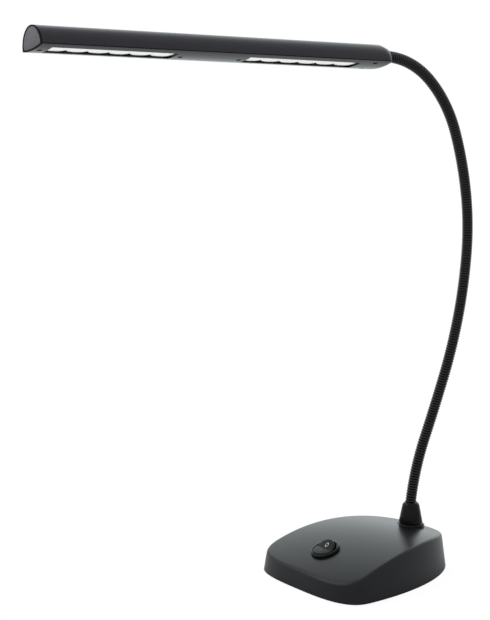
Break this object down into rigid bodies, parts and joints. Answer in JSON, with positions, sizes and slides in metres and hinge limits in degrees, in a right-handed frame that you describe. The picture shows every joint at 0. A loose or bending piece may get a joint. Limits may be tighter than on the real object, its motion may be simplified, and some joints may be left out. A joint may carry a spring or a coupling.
{
  "type": "piano lamp",
  "caption": "Piano lamp with a weighted shield-shaped base, a round rocker switch, a bendable gooseneck and a long slim light bar with a flat lit underside.",
  "frame": {"origin": "on the table, under the axis of the neck's collar", "axes": "-Z into the table, -Y from the neck towards the switch and the free end of the light bar, +X to the side"},
  "size_m": [0.1182, 0.3947, 0.428],
  "materials": {
    "shell": "satin, lightly textured",
    "bar": "satin",
    "cover": "satin grey",
    "cap": "satin grey",
    "black_gloss": "gloss black",
    "frame_black": "matt black",
    "lens": "opal white",
    "neck": "black, semi-gloss",
    "steel": "zinc plated",
    "screw_black": "blackened",
    "iron": "as cast",
    "pad": "matt foam rubber",
    "brass": "plain",
    "circuit_board": "solder mask",
    "electronics": "moulded",
    "sheet": "matt",
    "led_board": "white coated",
    "led": "phosphor yellow",
    "wire": "insulated"
  },
  "bodies": {
    "base": {"base_shell": "shell", "base_plate": "steel", "base_pad": "pad", "base_screws": "steel", "ballast": "iron", "ballast_screws": "steel", "switch_bezel": "black_gloss", "switch_terminals": "brass", "dc_inlet": "black_gloss", "inlet_nut": "steel", "driver_sheet": "sheet", "driver_board": "circuit_board", "driver_parts": "electronics", "base_wiring": "wire", "neck_collar": "black_gloss", "neck_ferrule": "brass", "neck_washer": "steel", "neck_nut": "steel", "neck_root": "neck"},
    "rocker": {"switch_rocker": "black_gloss"},
    "neck_1": {"neck_core_1": "neck", "neck_coil_1": "neck"},
    "neck_2": {"neck_core_2": "neck", "neck_coil_2": "neck"},
    "neck_3": {"neck_core_3": "neck", "neck_coil_3": "neck"},
    "neck_4": {"neck_core_4": "neck", "neck_coil_4": "neck"},
    "neck_5": {"neck_core_5": "neck", "neck_coil_5": "neck"},
    "neck_6": {"neck_core_6": "neck", "neck_coil_6": "neck"},
    "neck_7": {"neck_core_7": "neck", "neck_coil_7": "neck"},
    "head": {"neck_core_8": "neck", "neck_coil_8": "neck", "bar_shell": "bar", "end_cap": "cap", "light_cover": "cover", "cover_screws": "screw_black", "lens_frame_front": "frame_black", "lens_frame_rear": "frame_black", "lens_strip_front": "lens", "lens_strip_rear": "lens", "led_board_front": "led_board", "led_board_rear": "led_board", "leds": "led", "tip_ferrule": "brass", "tip_nut": "steel", "bar_wiring": "wire"}
  },
  "joints": [
    {"name": "switch_rocker_hinge", "type": "hinge", "parent": "base", "child": "rocker", "pos_m": [0, -0.08537, 0.02387], "axis": [-1, 0, 0], "range_deg": [0, 18]},
    {"name": "neck_bend_1", "type": "hinge", "parent": "base", "child": "neck_1", "pos_m": [0, 0, 0.0515], "axis": [1, 0, 0], "range_deg": [-20, 12]},
    {"name": "neck_sway_2", "type": "hinge", "parent": "neck_1", "child": "neck_2", "pos_m": [0, 0.01319, 0.09906], "axis": [0, -0.9205, 0.3907], "range_deg": [-15, 15]},
    {"name": "neck_bend_3", "type": "hinge", "parent": "neck_2", "child": "neck_3", "pos_m": [0, 0.03173, 0.14496], "axis": [1, 0, 0], "range_deg": [-20, 12]},
    {"name": "neck_bend_4", "type": "hinge", "parent": "neck_3", "child": "neck_4", "pos_m": [0, 0.04619, 0.19226], "axis": [1, 0, 0], "range_deg": [-20, 12]},
    {"name": "neck_sway_5", "type": "hinge", "parent": "neck_4", "child": "neck_5", "pos_m": [0, 0.05372, 0.24113], "axis": [0, -0.9969, 0.0785], "range_deg": [-15, 15]},
    {"name": "neck_bend_6", "type": "hinge", "parent": "neck_5", "child": "neck_6", "pos_m": [0, 0.05178, 0.29048], "axis": [1, 0, 0], "range_deg": [-20, 12]},
    {"name": "neck_sway_7", "type": "hinge", "parent": "neck_6", "child": "neck_7", "pos_m": [0, 0.0394, 0.33833], "axis": [0, -0.9397, -0.342], "range_deg": [-15, 15]},
    {"name": "neck_bend_8", "type": "hinge", "parent": "neck_7", "child": "head", "pos_m": [0, 0.01233, 0.37923], "axis": [1, 0, 0], "range_deg": [-20, 12]}
  ]
}
